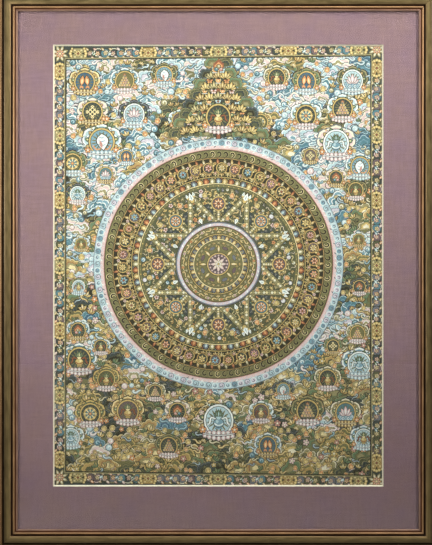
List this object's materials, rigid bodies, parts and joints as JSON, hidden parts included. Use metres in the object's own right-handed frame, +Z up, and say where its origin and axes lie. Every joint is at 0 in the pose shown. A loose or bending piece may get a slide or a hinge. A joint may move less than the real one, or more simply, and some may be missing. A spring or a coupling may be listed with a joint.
{
  "type": "mandala thangka cloth painting in a gilt wood frame",
  "caption": "Painted cotton thangka with a round mandala, flat behind a linen-faced mat and glass in a mitred gilt wood picture frame that hangs on a wall.",
  "frame": {"origin": "middle of the top rail's back face, where the frame hangs on the wall", "axes": "+Z up, +Y out of the back towards the wall, +X to the right of a viewer who faces the painting"},
  "size_m": [0.654, 0.0204, 0.829],
  "materials": {
    "gilt_wood": "antique gold leaf on toned wood, brushed along the rail, dark in its grooves",
    "picture_glass": "clear flat picture glass",
    "mat_linen": "plain-woven mauve linen",
    "mat_board": "cream mat board, cut edge bare",
    "painted_cotton": "fine matt mineral paint and gold on sized cotton",
    "hardboard": "brown hardboard, bare"
  },
  "bodies": {
    "root": {"rail_top": "gilt_wood", "rail_bottom": "gilt_wood", "rail_left": "gilt_wood", "rail_right": "gilt_wood", "glass": "picture_glass", "mat_linen": "mat_linen", "mat_board": "mat_board", "thangka_cloth": "painted_cotton", "backing_board": "hardboard"}
  },
  "joints": []
}
